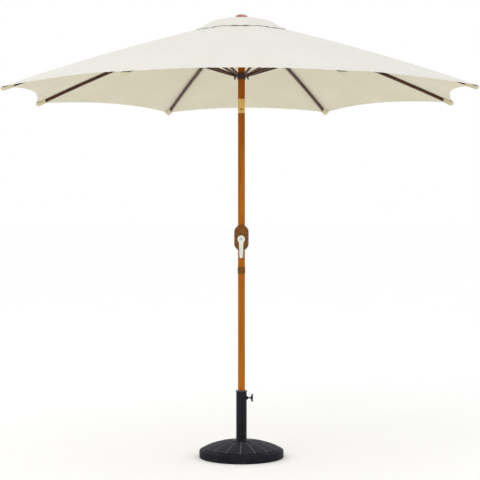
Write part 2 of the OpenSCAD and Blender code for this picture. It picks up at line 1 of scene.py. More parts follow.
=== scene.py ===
import bmesh
import bpy
import math
import numpy as np
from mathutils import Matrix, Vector


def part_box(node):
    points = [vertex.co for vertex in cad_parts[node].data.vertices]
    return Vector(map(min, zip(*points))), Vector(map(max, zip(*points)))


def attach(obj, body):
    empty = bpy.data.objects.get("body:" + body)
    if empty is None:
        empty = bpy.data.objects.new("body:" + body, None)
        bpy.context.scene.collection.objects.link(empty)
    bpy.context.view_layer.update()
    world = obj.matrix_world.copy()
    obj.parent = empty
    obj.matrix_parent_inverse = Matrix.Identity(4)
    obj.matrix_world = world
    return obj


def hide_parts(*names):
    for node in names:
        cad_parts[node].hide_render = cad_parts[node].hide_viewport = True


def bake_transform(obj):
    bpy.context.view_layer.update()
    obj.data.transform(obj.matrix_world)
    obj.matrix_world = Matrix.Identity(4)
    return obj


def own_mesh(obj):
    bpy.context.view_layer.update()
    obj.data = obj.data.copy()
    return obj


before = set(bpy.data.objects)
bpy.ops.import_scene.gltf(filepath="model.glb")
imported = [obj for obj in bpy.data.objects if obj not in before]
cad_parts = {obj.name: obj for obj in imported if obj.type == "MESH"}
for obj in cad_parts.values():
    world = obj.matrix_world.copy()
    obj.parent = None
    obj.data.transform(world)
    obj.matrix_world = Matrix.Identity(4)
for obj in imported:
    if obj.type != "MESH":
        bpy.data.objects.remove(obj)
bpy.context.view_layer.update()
scene = bpy.context.scene

# -------- sizes, in millimetres

RIBS = 8
HALF = math.radians(22.5)  # half the angle between two ribs
SLOPE = math.radians(17.5)  # of an open rib's chord
CLOSING = math.radians(69.5)  # what a rib turns by as the canopy closes
CANOPY_R = 1304.0  # out to a rib's tip
RIB_BOW = 18.0  # rise of a rib's arc over its chord
SCALLOP = 78.0  # depth of the hem's scallop between two ribs
PIVOT_R = 34.0  # out to the ribs' hinges
VENT_R = 150.0
CAP_FLAT_R, CAP_START, CAP_R, CAP_PUFF = 30.0, 60.0, 250.0, 18.0
FABRIC_TOP = 10.5  # from a rib's axis to the outer face of its cloth
FABRIC_T = 0.9
POCKET_T = 0.8
MID_GORE = 1.0  # the share of the way from a rib at which two halves of a gore meet


def mm(node):
    """A CAD node's lowest and highest corners, in millimetres."""
    low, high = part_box(node)
    return np.array(low) * 1000, np.array(high) * 1000


def middle(node):
    low, high = mm(node)
    return (low + high) / 2


HUB_Z = middle("hub_pins")[2]
RUNNER_Z = middle("runner_pins")[2]
CROWN_Z = mm("canopy_panel_1")[1][2] - 1.2
CRANK_Z = middle("crank_shaft")[2]
CLAMP_Z = middle("clamp_screw")[2]
KNOB_Z = middle("crank_knob")[2]
JOINT_LOW, JOINT_HIGH = mm("joint_sleeve")[0][2], mm("joint_sleeve")[1][2]
BASE_R = mm("base_shell")[1][0]
DOME_Z = mm("base_shell")[1][2]
RING_TOP = mm("reducer_ring")[1][2]

# -------- materials


def rgb(r, g, b):
    """An sRGB colour, 0 to 255, as linear values with alpha."""
    linear = [((c / 255 + 0.055) / 1.055) ** 2.4 if c > 10 else c / 255 / 12.92 for c in (r, g, b)]
    return (*linear, 1.0)


MOULD_EDGE = 0.0006  # metres; how far a moulded edge is rounded in the shading


class Paint:
    """A Principled material, put together from small node steps."""

    def __init__(self, name, **sockets):
        self.mat = bpy.data.materials.new(name)
        self.mat.use_nodes = True
        self.tree = self.mat.node_tree
        self.shader = next(n for n in self.tree.nodes if n.type == "BSDF_PRINCIPLED")
        self.output = next(n for n in self.tree.nodes if n.type == "OUTPUT_MATERIAL")
        self.normal = None
        for key, value in sockets.items():
            self.shader.inputs[key.replace("_", " ")].default_value = value

    def node(self, kind, settings=None, **inputs):
        n = self.tree.nodes.new(kind)
        for key, value in (settings or {}).items():
            setattr(n, key, value)
        for key, value in inputs.items():
            self.put(n.inputs[key.replace("_", " ")], value)
        return n

    def put(self, socket, value):
        if isinstance(value, bpy.types.NodeSocket):
            self.tree.links.new(value, socket)
        else:
            socket.default_value = value

    def at(self, scale=(1, 1, 1), uv=False, turn=(0, 0, 0)):
        source = self.node("ShaderNodeTexCoord").outputs["UV" if uv else "Object"]
        return self.node("ShaderNodeMapping", Vector=source, Scale=scale, Rotation=turn).outputs[0]

    def noise(self, vector, scale, detail=3.0, rough=0.5, distortion=0.0):
        values = {"Scale": scale, "Detail": detail, "Roughness": rough, "Distortion": distortion}
        return self.node("ShaderNodeTexNoise", Vector=vector, **values).outputs[0]

    def wave(self, vector, scale, direction="X", distortion=0.0, detail=0.0):
        settings = {"wave_type": "BANDS", "bands_direction": direction}
        values = {"Scale": scale, "Distortion": distortion, "Detail": detail}
        return self.node("ShaderNodeTexWave", settings, Vector=vector, **values).outputs["Fac"]

    def cells(self, vector, scale):
        return self.node("ShaderNodeTexVoronoi", Vector=vector, Scale=scale).outputs["Distance"]

    def math(self, kind, a, b=0.0):
        n = self.node("ShaderNodeMath", {"operation": kind})
        self.put(n.inputs[0], a)
        self.put(n.inputs[1], b)
        return n.outputs[0]

    def span(self, value, low, high, to_low=0.0, to_high=1.0):
        n = self.node("ShaderNodeMapRange")
        keys = ("Value", "From Min", "From Max", "To Min", "To Max")
        for key, v in zip(keys, (value, low, high, to_low, to_high)):
            self.put(n.inputs[key], v)
        return n.outputs[0]

    def ramp(self, fac, *stops):
        n = self.node("ShaderNodeValToRGB", Fac=fac)
        elements = n.color_ramp.elements
        while len(elements) < len(stops):
            elements.new(0.5)
        for element, (place, colour) in zip(elements, stops):
            element.position, element.color = place, colour
        return n.outputs[0]

    def mix(self, fac, a, b):
        n = self.node("ShaderNodeMix", {"data_type": "RGBA"})
        self.put(n.inputs["Factor"], fac)
        self.put(n.inputs[6], a)
        self.put(n.inputs[7], b)
        return n.outputs[2]

    def colour(self, socket):
        self.put(self.shader.inputs["Base Color"], socket)
        return self

    def roughness(self, fac, low, high):
        self.put(self.shader.inputs["Roughness"], self.span(fac, 0.0, 1.0, low, high))
        return self

    def bump(self, height, strength, distance):
        n = self.node("ShaderNodeBump", Height=height, Strength=strength, Distance=distance)
        if self.normal is not None:
            self.put(n.inputs["Normal"], self.normal)
        self.normal = n.outputs[0]
        self.put(self.shader.inputs["Normal"], self.normal)
        return self

    def soften(self, radius):
        """Rounds sharp edges in the shading, before any bump."""
        self.normal = self.node("ShaderNodeBevel", {"samples": 4}, Radius=radius).outputs[0]
        self.put(self.shader.inputs["Normal"], self.normal)
        return self


def fabric(name, colour, shade, through):
    """Woven polyester canvas, with its threads along U and V in metres."""
    p = Paint(name, Roughness=0.88, Sheen_Weight=0.25, Sheen_Roughness=0.45, Specular_IOR_Level=0.25)
    uv = p.at(uv=True)
    warp, weft = p.wave(uv, 210, "X", 0.6, 1.0), p.wave(uv, 210, "Y", 0.6, 1.0)
    weave = p.math("MULTIPLY", warp, weft)
    slub = p.noise(p.at((900, 14, 1), uv=True), 1.0, 2.0)
    slub_across = p.noise(p.at((14, 900, 1), uv=True), 1.0, 2.0)
    threads = p.math("ADD", slub, slub_across)
    broad = p.noise(p.at(uv=True), 2.6, 4.0, 0.55)
    soft = p.noise(p.at(uv=True), 38.0, 3.0, 0.6)
    tone = p.mix(p.span(broad, 0.3, 0.7), shade, colour)
    tone = p.mix(p.span(threads, 0.7, 1.3, 0.0, 0.22), tone, shade)
    tone = p.mix(p.span(weave, 0.0, 1.0, 0.1, 0.0), tone, shade)
    tone = p.mix(p.span(soft, 0.35, 0.75, 0.0, 0.1), tone, shade)
    p.colour(tone)
    p.bump(weave, 0.35, 0.00025).bump(threads, 0.18, 0.0004).bump(soft, 0.12, 0.0015)
    behind = p.node("ShaderNodeBsdfTranslucent", Color=tone)
    both = p.node("ShaderNodeMixShader")
    p.put(both.inputs[0], through)
    p.put(both.inputs[1], p.shader.outputs[0])
    p.put(both.inputs[2], behind.outputs[0])
    p.put(p.output.inputs["Surface"], both.outputs[0])
    return p.mat


def pole_wood(name):
    """Wood-look lacquer on a metal tube: red-brown at the top and amber at the foot."""
    p = Paint(name, Coat_Weight=0.04, Coat_Roughness=0.18, Specular_IOR_Level=0.06)
    long_grain = p.noise(p.at((95, 95, 3.2)), 1.0, 6.0, 0.62, 0.5)
    fine_grain = p.noise(p.at((420, 420, 6)), 1.0, 4.0, 0.6)
    figure = p.wave(p.at((1, 1, 0.06)), 26, "X", 5.0, 2.0)
    place = p.node("ShaderNodeTexCoord").outputs["Object"]
    height = p.node("ShaderNodeSeparateXYZ", Vector=place).outputs["Z"]
    low = p.ramp(long_grain, (0.22, rgb(150, 78, 3)), (0.5, rgb(178, 100, 5)), (0.8, rgb(194, 118, 14)))
    high = p.ramp(long_grain, (0.22, rgb(112, 46, 3)), (0.5, rgb(146, 68, 4)), (0.8, rgb(162, 86, 10)))
    tone = p.mix(p.span(height, 1.45, 2.2), low, high)
    tone = p.mix(p.span(fine_grain, 0.45, 0.8, 0.0, 0.5), tone, rgb(92, 38, 6))
    tone = p.mix(p.span(figure, 0.55, 1.0, 0.0, 0.22), tone, rgb(110, 50, 8))
    p.colour(tone).roughness(fine_grain, 0.28, 0.46)
    p.bump(fine_grain, 0.14, 0.0004).bump(long_grain, 0.1, 0.0006)
    return p.mat


def mottled(name, stops, scale, rough, bump, coat):
    """Moulded plastic with a burl-like or antiqued mottle."""
    p = Paint(name, Coat_Weight=coat, Coat_Roughness=0.25, Specular_IOR_Level=0.08)
    p.soften(MOULD_EDGE)
    where = p.at()
    swirl = p.noise(where, scale, 5.0, 0.62, 2.2)
    specks = p.noise(where, scale * 7, 3.0, 0.6)
    eyes = p.cells(where, scale * 1.4)
    tone = p.ramp(swirl, *stops)
    tone = p.mix(p.span(specks, 0.48, 0.8, 0.0, 0.6), tone, stops[0][1])
    tone = p.mix(p.span(eyes, 0.0, 0.35, 0.45, 0.0), tone, stops[0][1])
    p.colour(tone).roughness(specks, rough - 0.08, rough + 0.12)
    return p.bump(specks, bump, 0.0005).bump(swirl, bump, 0.0008).mat


def moulded(name, dark, light, grain, rough, bump, coat):
    """Textured plastic or resin: a fine spark-eroded grain over a faint mottle."""
    p = Paint(name, Coat_Weight=coat, Coat_Roughness=0.2, Specular_IOR_Level=0.25)
    p.soften(MOULD_EDGE)
    where = p.at()
    fine, broad = p.noise(where, grain, 2.0), p.noise(where, 22, 4.0)
    scuffs = p.noise(p.at((30, 30, 240)), 1.0, 3.0, 0.7)
    tone = p.mix(p.span(broad, 0.35, 0.7), dark, light)
    tone = p.mix(p.span(fine, 0.5, 0.8, 0.0, 0.4), tone, light)
    tone = p.mix(p.span(scuffs, 0.66, 0.8, 0.0, 0.25), tone, light)
    p.colour(tone).roughness(broad, rough - 0.1, rough + 0.1)
    return p.bump(fine, bump, 0.0003).mat


def woven_resin(name):
    """Black resin cast as a basket weave: crests lightened to grey as a painted highlight, over valleys left
    darker as painted shade.
    """
    p = Paint(name, Specular_IOR_Level=0.05)
    p.soften(0.0004)
    where = p.at()
    fine, broad = p.noise(where, 700, 2.0), p.noise(where, 18, 4.0)
    painted_glint_crest = p.node("ShaderNodeAttribute", {"attribute_name": "painted_glint_crest"}).outputs["Fac"]
    tone = p.mix(p.span(broad, 0.35, 0.7), rgb(22, 21, 26), rgb(36, 35, 41))
    # painted highlight on the weave's crests, which leaves the valleys dark as painted shade
    tone = p.mix(p.span(painted_glint_crest, 0.45, 0.95, 0.0, 0.8), tone, rgb(96, 96, 106))
    tone = p.mix(p.span(fine, 0.5, 0.8, 0.0, 0.25), tone, rgb(50, 50, 57))
    p.colour(tone).roughness(broad, 0.42, 0.6)
    return p.bump(fine, 0.25, 0.0003).mat


def coated_metal(name, dark, light, rough, metal, coat, chips=None, gloss=0.2):
    """Powder coat or lacquer on metal: orange peel, and bare or pale chips where it's worn."""
    p = Paint(name, Metallic=metal, Coat_Weight=coat, Coat_Roughness=0.15, Specular_IOR_Level=gloss)
    p.soften(0.0005)
    where = p.at()
    peel, broad = p.noise(where, 620, 2.0), p.noise(where, 9, 5.0, 0.6)
    tone = p.mix(p.span(broad, 0.35, 0.7), dark, light)
    tone = p.mix(p.span(peel, 0.45, 0.75, 0.0, 0.3), tone, light)
    if chips:
        spots = p.noise(where, 150, 6.0, 0.75)
        tone = p.mix(p.span(spots, 0.7, 0.74, 0.0, 0.8), tone, chips)
    p.colour(tone).roughness(peel, rough - 0.06, rough + 0.1)
    return p.bump(peel, 0.12, 0.0004).mat


def bare_metal(name, dark, light, along, rough=0.3):
    """Drawn or turned metal, brushed along or around."""
    p = Paint(name, Metallic=1.0)
    p.soften(0.0003)
    scale = {"X": (4, 900, 900), "Y": (900, 4, 900), "Z": (900, 900, 4)}[along]
    brushed, broad = p.noise(p.at(scale), 1.0, 3.0), p.noise(p.at(), 60, 4.0)
    p.colour(p.mix(p.span(brushed, 0.3, 0.7), dark, light)).roughness(broad, rough - 0.08, rough + 0.15)
    return p.bump(brushed, 0.15, 0.0002).mat


def braid(name):
    """White braided cord: two sets of strands crossing round it, along V."""
    p = Paint(name, Roughness=0.8, Sheen_Weight=0.3)
    one = p.wave(p.at((1, 1, 1), uv=True, turn=(0, 0, 0.8)), 130, "X")
    two = p.wave(p.at((1, 1, 1), uv=True, turn=(0, 0, -0.8)), 130, "X")
    lay = p.math("MAXIMUM", one, two)
    p.colour(p.mix(lay, rgb(150, 146, 134), rgb(232, 229, 220)))
    return p.bump(lay, 0.6, 0.0004).mat


def cement(name):
    p = Paint(name, Roughness=0.95)
    where = p.at()
    sand, broad, pits = p.noise(where, 420, 4.0), p.noise(where, 14, 5.0), p.cells(where, 160)
    tone = p.mix(p.span(broad, 0.3, 0.7), rgb(128, 126, 121), rgb(165, 163, 156))
    p.colour(p.mix(p.span(sand, 0.4, 0.7, 0.0, 0.5), tone, rgb(96, 94, 90)))
    return p.bump(sand, 0.5, 0.001).bump(pits, 0.25, 0.002).mat


CLOTH = fabric("canopy_cloth", rgb(238, 235, 229), rgb(230, 228, 219), 0.1)
# The underside: the same canvas, coloured darker and yellower as painted shade.
CLOTH_UNDER_PAINTED_SHADE = fabric("canopy_cloth_underside_painted_shade", rgb(227, 221, 199), rgb(217, 210, 184), 0.1)
# The tip pockets: the same canvas, coloured darker and tan as painted shade.
POCKET_PAINTED_SHADE = fabric("pocket_cloth_painted_shade", rgb(222, 215, 186), rgb(206, 198, 162), 0.1)
POLE = pole_wood("pole_wood_lacquer")
BURL = mottled(
    "housing_burl",
    ((0.28, rgb(62, 30, 8)), (0.44, rgb(120, 68, 24)), (0.56, rgb(126, 88, 36)), (0.72, rgb(168, 96, 42))),
    46, 0.42, 0.25, 0.08,
)
BRONZE = mottled(
    "antique_bronze",
    ((0.3, rgb(72, 48, 10)), (0.5, rgb(120, 78, 18)), (0.7, rgb(146, 94, 22))),
    70, 0.42, 0.2, 0.05,
)
TURNED = mottled(
    "finial_wood",
    ((0.3, rgb(150, 100, 88)), (0.5, rgb(184, 134, 120)), (0.75, rgb(206, 166, 154))),
    30, 0.34, 0.15, 0.15,
)
RESIN = woven_resin("base_resin")
BLACK = moulded("black_plastic", rgb(16, 16, 20), rgb(30, 30, 35), 1100, 0.4, 0.18, 0.05)
# Black plastic, with a lighter blue-grey tone in patches that is a painted highlight.
RING_PAINTED_HIGHLIGHT = moulded("reducer_plastic_painted_highlight", rgb(30, 33, 42), rgb(66, 76, 96), 900, 0.32, 0.15, 0.3)
PALE = moulded("handle_plastic", rgb(212, 220, 208), rgb(230, 236, 226), 1200, 0.32, 0.12, 0.3)
NYLON = moulded("nylon", rgb(205, 202, 190), rgb(226, 223, 212), 900, 0.4, 0.15, 0.1)
HUB = moulded("hub_brown", rgb(46, 30, 27), rgb(72, 50, 44), 900, 0.42, 0.2, 0.15)
TUBE = coated_metal("tube_black", rgb(12, 11, 17), rgb(24, 23, 31), 0.3, 0.0, 0.08, gloss=0.12)
FRAME = coated_metal("frame_brown", rgb(60, 34, 26), rgb(88, 56, 44), 0.34, 0.0, 0.1, chips=rgb(120, 98, 90))
GOLD = coated_metal("tilt_gold", rgb(206, 162, 74), rgb(232, 194, 106), 0.3, 0.25, 0.4)
STEEL = bare_metal("steel", rgb(132, 133, 137), rgb(176, 177, 180), "Z")
DARK_STEEL = bare_metal("dark_steel", rgb(60, 60, 63), rgb(96, 96, 100), "X")
SHAFT_STEEL = bare_metal("shaft_steel", rgb(140, 141, 145), rgb(186, 187, 190), "Y")
BRASS = bare_metal("brass_pin", rgb(150, 116, 52), rgb(196, 160, 84), "X")
CEMENT = cement("ballast_cement")
CORD = braid("lift_cord")

NODE_PAINT = {
    "base_ballast": CEMENT, "base_bolt": STEEL, "base_tube": TUBE, "tube_plug": BLACK,
    "clamp_pad": DARK_STEEL, "clamp_screw": DARK_STEEL, "lower_pole": POLE, "mid_pole": POLE,
    "upper_pole": POLE, "shell_screws": SHAFT_STEEL, "shaft_bushes": NYLON, "crank_shaft": SHAFT_STEEL,
    "cord_spool": BLACK, "crank_screw": SHAFT_STEEL, "tilt_clevis": GOLD, "tilt_pin": BRASS,
    "tilt_tongue": GOLD, "tilt_button": GOLD, "button_spring": SHAFT_STEEL, "top_hub": HUB,
    "hub_pins": STEEL, "top_pulley": NYLON, "lift_cord_lower": CORD, "lift_cord_upper": CORD,
    "runner": HUB, "runner_pins": STEEL,
}
for name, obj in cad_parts.items():
    paint = NODE_PAINT.get(name) or (FRAME if name.startswith(("rib_", "stretcher_")) else None)
    if paint:
        obj.data.materials.clear()
        obj.data.materials.append(paint)

# -------- mesh tools, in millimetres


def quads(rows, cols, wrap=False):
    """The faces of a grid of points, rows by cols."""
    last = cols if wrap else cols - 1
    corners = [(i * cols, (i + 1) * cols, j, (j + 1) % cols) for i in range(rows - 1) for j in range(last)]
    return [(low + j, low + k, high + k, high + j) for low, high, j, k in corners]


def tube_faces(rows, cols):
    """The faces of a tube of points, rows by cols, with a flat face over each end."""
    far_end = range(rows * cols - 1, (rows - 1) * cols - 1, -1)
    return quads(rows, cols, wrap=True) + [tuple(range(cols)), tuple(far_end)]


def piece(name, points, faces, material, uv=None, sharp=35.0):
    """A mesh object from points in millimetres; uv is one pair per point, in millimetres too."""
    mesh = bpy.data.meshes.new(name)
    mesh.from_pydata((np.asarray(points, float).reshape(-1, 3) / 1000).tolist(), [], faces)
    if uv is not None:
        loops = np.zeros(len(mesh.loops), np.int32)
        mesh.loops.foreach_get("vertex_index", loops)
        layer = mesh.uv_layers.new(name="UVMap")
        layer.data.foreach_set("uv", (np.asarray(uv, float).reshape(-1, 2)[loops] / 1000).ravel())
    mesh.polygons.foreach_set("use_smooth", [True] * len(mesh.polygons))
    mesh.materials.append(material)
    if sharp:
        mesh.set_sharp_from_angle(angle=math.radians(sharp))
    obj = bpy.data.objects.new(name, mesh)
    scene.collection.objects.link(obj)
    return obj


def cleaned(obj, sharp=35.0):
    """Merges doubled points and turns the faces outward."""
    bm = bmesh.new()
    bm.from_mesh(obj.data)
    bmesh.ops.remove_doubles(bm, verts=bm.verts, dist=0.000002)
    bmesh.ops.recalc_face_normals(bm, faces=bm.faces)
    bm.to_mesh(obj.data)
    bm.free()
    obj.data.set_sharp_from_angle(angle=math.radians(sharp))
    return obj


def rounded(points, radius, steps=5):
    """A 2-D outline with its inner corners rounded; radius is a number or one for each point."""
    points = [np.array(p, float) for p in points]
    n, out = len(points), []
    for i, p in enumerate(points):
        r = radius[i] if hasattr(radius, "__len__") else radius
        if i in (0, n - 1) or r <= 0:
            out.append(p)
            continue
        a, b = points[i - 1] - p, points[(i + 1) % n] - p
        la, lb = np.linalg.norm(a), np.linalg.norm(b)
        cut = min(r, la * 0.48, lb * 0.48)
        a, b = p + a / la * cut, p + b / lb * cut
        out += [(1 - t) ** 2 * a + 2 * t * (1 - t) * p + t * t * b for t in np.linspace(0, 1, steps)]
    return out


AXES = {
    "Z": lambda r, a, h: (r * np.cos(a), r * np.sin(a), h),
    "X": lambda r, a, h: (h, r * np.cos(a), r * np.sin(a)),
    "-Y": lambda r, a, h: (r * np.cos(a), -h, r * np.sin(a)),
}


def lathe(name, profile, material, axis="Z", at=(0, 0, 0), n=96, shape=None, sharp=35.0, closed=False):
    """A turned piece: profile is (radius, place along the axis), and shape may move its points."""
    profile = np.array([tuple(p) for p in profile])
    if closed:
        profile = np.vstack([profile, profile[:1]])
    angle = np.linspace(0, 2 * math.pi, n, endpoint=False)
    r, a = np.meshgrid(profile[:, 0], angle, indexing="ij")
    h = np.repeat(profile[:, 1:2], n, axis=1)
    if shape:
        r, h = shape(r, a, h)
    points = np.stack(AXES[axis](r, a, h), axis=-1).reshape(-1, 3) + np.array(at)
    run = np.concatenate([[0], np.cumsum(np.linalg.norm(np.diff(profile, axis=0), axis=1))])
    uv = np.stack([a * profile[:, 0].max(), np.repeat(run[:, None], n, axis=1)], axis=-1)
    return cleaned(piece(name, points, quads(len(profile), n, wrap=True), material, uv), sharp=sharp)


def fused(name, parts, voxel, rounds, material):
    """Several overlapping solids as one moulded skin: voxel remesh, then smoothing. Sizes in millimetres."""
    bm = bmesh.new()
    for part in parts:
        bm.from_mesh(part.data)
        bpy.data.objects.remove(part)
    mesh = bpy.data.meshes.new(name)
    bm.to_mesh(mesh)
    bm.free()
    rough = bpy.data.objects.new(name + "_raw", mesh)
    scene.collection.objects.link(rough)
    remesh = rough.modifiers.new("remesh", "REMESH")
    remesh.mode, remesh.voxel_size, remesh.use_smooth_shade = "VOXEL", voxel / 1000, True
    smooth = rough.modifiers.new("smooth", "SMOOTH")
    smooth.factor, smooth.iterations = 0.5, rounds
    bpy.context.view_layer.update()
    final = bpy.data.meshes.new_from_object(rough.evaluated_get(bpy.context.evaluated_depsgraph_get()))
    bpy.data.objects.remove(rough)
    final.materials.clear()
    final.materials.append(material)
    final.polygons.foreach_set("use_smooth", [True] * len(final.polygons))
    obj = bpy.data.objects.new(name, final)
    scene.collection.objects.link(obj)
    return obj


def ease(x, a, b):
    """0 below a, 1 above b, and an S between them."""
    t = np.clip((x - a) / (b - a), 0, 1)
    return t * t * (3 - 2 * t)


# -------- canopy

chord = (CANOPY_R - PIVOT_R) / math.cos(SLOPE)
arc_r = chord * chord / (8 * RIB_BOW) + RIB_BOW / 2
arc_half = math.asin(chord / 2 / arc_r)
RIB_L = 2 * arc_r * arc_half
arc_x = (CANOPY_R + PIVOT_R) / 2 - arc_r * math.cos(arc_half) * math.sin(SLOPE)
arc_z = HUB_Z - chord / 2 * math.sin(SLOPE) - arc_r * math.cos(arc_half) * math.cos(SLOPE)
SIDE = np.array([-math.sin(HALF), math.cos(HALF), 0.0])


def rib_line(s, h=FABRIC_TOP):
    """Points above the rib's axis by h, at s along it, in the rib's own frame."""
    phi = SLOPE + s / arc_r - arc_half
    return np.stack([arc_x + (arc_r + h) * np.sin(phi), 0 * phi, arc_z + (arc_r + h) * np.cos(phi)], axis=-1)


def cap_line(x):
    """The cap's middle line over a rib: it puffs up between the finial and its hem."""
    out = x - CAP_FLAT_R
    puff = CAP_PUFF * np.sin(math.pi * np.clip(out / (CAP_R - CAP_FLAT_R), 0, 1)) ** 1.5
    return np.stack([x, 0 * x, CROWN_Z + 1.2 - np.maximum(0, out) * 0.3 + puff], axis=-1)


def folding_plane(k):
    """The plane that a fin of cloth would flatten on, so that its outer edge stays between closing ribs.

    Gives the plane's normal, its distance from the origin and the share that is taken out.
    """
    s, c, cq, sq = math.sin(HALF), math.cos(HALF), math.cos(CLOSING), math.sin(CLOSING)

    def turned(v):
        return np.array([v[0] * cq + v[2] * sq, v[1], v[2] * cq - v[0] * sq])

    along = SIDE @ turned(SIDE)
    want_x, want_z = s * (along - cq), -s * sq
    want_0 = s * (PIVOT_R * (1 - cq) - HUB_Z * sq)
    z = want_z / k
    row = np.array([c * c, s * c])
    d, size = want_x / k / (row @ row), math.sqrt(row @ row)
    left = math.sqrt(max(0.0, 1 - z * z - d * d * (row @ row)))
    x, y = row[0] * d - row[1] / size * left, row[1] * d + row[0] / size * left
    normal = np.array([x, y, z])
    return normal, want_0 / k, k / (SIDE @ turned(normal))


PLANE, PLANE_AT, PLANE_SHARE = folding_plane(0.985)


def band_edge(line):
    """Half width of the cloth that turns with the rib, at each point of the rib's line."""
    return (PLANE_AT - line @ PLANE) / (SIDE @ PLANE)


def hem_at(w):
    return RIB_L - SCALLOP / math.cos(SLOPE) * (2 * np.abs(w) - w * w)


VENT_S = (VENT_R - PIVOT_R) / math.cos(SLOPE)
# distances in from the hem and out from the vent's edge, close together at the folds and stitches
HEM_ROWS = np.array([23.0, 21.2, 20.0, 18.2, 17.2, 16.4, 15.4, 9.0, 2.4, 0.9, 0.0])
VENT_ROWS = np.array([0.0, 0.8, 5.0, 10.5, 11.5, 12.5])
GORE_PHASE = [0.4, 1.9, 3.1, 4.4, 5.2, 0.9, 2.6, 3.8]


def folded_edge(d):
    """Height of a doubled, stitched edge, d in from it."""
    raised = 0.9 * (1 - ease(d, 20.0, 21.2))
    stitches = 0.55 * np.exp(-(((d - 17.2) / 0.8) ** 2))
    return raised - stitches


def felled_seam(d):
    """Height of the lapped seam over the rib, d to the side of it, with a row of stitches down each side."""
    raised = 0.8 * (1 - ease(d, 6.0, 6.8))
    return raised - 0.5 * np.exp(-(((d - 4.2) / 0.7) ** 2))


def cloth_height(s, w, across, hem, gore):
    """How far the taut cloth stands off its ruled shape: sag between ribs, edges, puckers and drawn folds."""
    t = np.clip((s - VENT_S) / (hem - VENT_S), 0, 1)
    lift = -7.0 * (0.5 - 0.5 * np.cos(math.pi * w)) * np.sin(math.pi * np.clip(t * 0.86, 0, 1)) ** 0.9
    ripple = 1.1 * np.sin(s / 150 + GORE_PHASE[gore])
    lift += ripple * np.sin(math.pi * w / 2) ** 2 * ease(t, 0.05, 0.4)
    from_hem = hem - s
    to_seam = (1 - w) * across / np.maximum(w, 1e-3)
    lift += 0.7 * np.cos(2 * math.pi * to_seam / 31) * np.exp(-from_hem / 26) * ease(w, 0.05, 0.2)
    reach = np.hypot(RIB_L - s, across)
    turn = np.arctan2(across, RIB_L - s + 1)
    lift += 1.5 * np.exp(-reach / 150) * np.cos(11 * turn) * ease(across, 8, 40)
    lift += folded_edge(from_hem)
    lift += 0.8 * (1 - ease(s - VENT_S, 11.0, 12.2)) - 0.4 * np.exp(-(((s - VENT_S - 9.5) / 0.8) ** 2))
    return lift


UP = np.array([math.sin(SLOPE), 0, math.cos(SLOPE)])


def crease(across, w):
    """Distance run inward by the cloth, rounded over the rib and exact where two gore halves meet."""
    return across - (across - np.sqrt(across**2 + 9) + 3) * (1 - w)


def beside_rib(line, across, w):
    """Points beside a rib's line: across to the side, and drawn in towards the pole."""
    sideways = across[..., None] * np.array([0, math.cos(HALF), 0])
    inward = crease(across, w)[..., None] * np.array([math.sin(HALF), 0, 0])
    return line + sideways - inward


def main_cloth(w_of, gore, main_rows=46):
    """A grid of points of the main canopy; w_of(line) gives its columns, 0 at the rib, 1 at mid-gore."""
    share = np.linspace(0, 1, main_rows)[1:-1]
    cols = w_of(rib_line(np.array([600.0]))).shape[1]
    s = np.zeros((len(VENT_ROWS) + len(share) + len(HEM_ROWS), cols))
    w = np.zeros_like(s)
    for _ in range(8):
        hem = hem_at(w)
        low, high = VENT_S + VENT_ROWS[-1], hem - HEM_ROWS[0]
        s = np.concatenate(
            [VENT_S + VENT_ROWS[:, None] + 0 * s[: len(VENT_ROWS)],
             low + share[:, None] * (high[: len(share)] - low),
             hem[-len(HEM_ROWS):] - HEM_ROWS[:, None]]
        )
        w = np.stack([w_of(rib_line(s[:, j]))[:, j] for j in range(cols)], axis=1)
    line = rib_line(s)
    across = w * (line[..., 0] * math.sin(HALF))
    lift = cloth_height(s, w, across, hem_at(w), gore) + felled_seam(across)
    points = beside_rib(line, across, w) + lift[..., None] * UP
    return points, np.stack([across, s], axis=-1)


def turned_to(i, points, mirror=False):
    """From a rib's own frame to the row frame, for rib i; mirrored across the rib for its other side."""
    a = HALF + 2 * HALF * (i - 1)
    points = np.array(points, float)
    if mirror:
        points = points * np.array([1, -1, 1])
    turn = np.array([[math.cos(a), math.sin(a), 0], [-math.sin(a), math.cos(a), 0], [0, 0, 1]])
    return points @ turn


def cloth_piece(name, points, uv, under=CLOTH_UNDER_PAINTED_SHADE, thick=FABRIC_T):
    """A sheet with its first material on the upper side and the second one below, a darker copy of the cloth
    that is painted shade.
    """
    rows, cols = points.shape[:2]
    obj = piece(name, points, quads(rows, cols), CLOTH, uv, sharp=None)
    if sum(face.normal.z * face.area for face in obj.data.polygons) < 0:
        obj.data.flip_normals()
    obj.data.materials.append(under)
    bm = bmesh.new()
    bm.from_mesh(obj.data)
    for edge in bm.edges:
        edge.smooth = not edge.is_boundary
    bm.to_mesh(obj.data)
    bm.free()
    solid = obj.modifiers.new("thickness", "SOLIDIFY")
    solid.thickness, solid.offset = thick / 1000, -1
    solid.material_offset, solid.use_even_offset = 1, False
    return obj


def fit(obj, body, slot, *replaced):
    """A piece's body, its material slot (not used) and the CAD nodes that it stands for."""
    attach(obj, body)
    if replaced:
        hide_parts(*replaced)


FIN_COLS = np.concatenate([[0, 0.004, 0.012], np.linspace(0.03, 1, 22)])
BAND_SIDE = np.array([2.2, 3.0, 3.6, 4.2, 4.8, 5.4, 6.0, 6.4, 6.9, 8.5])
SIDES = (("left", False), ("right", True))


def reach_of(line):
    """How far mid-gore is from each point of a rib's line, along the chord between two ribs."""
    return line[:, 0] * math.sin(HALF)


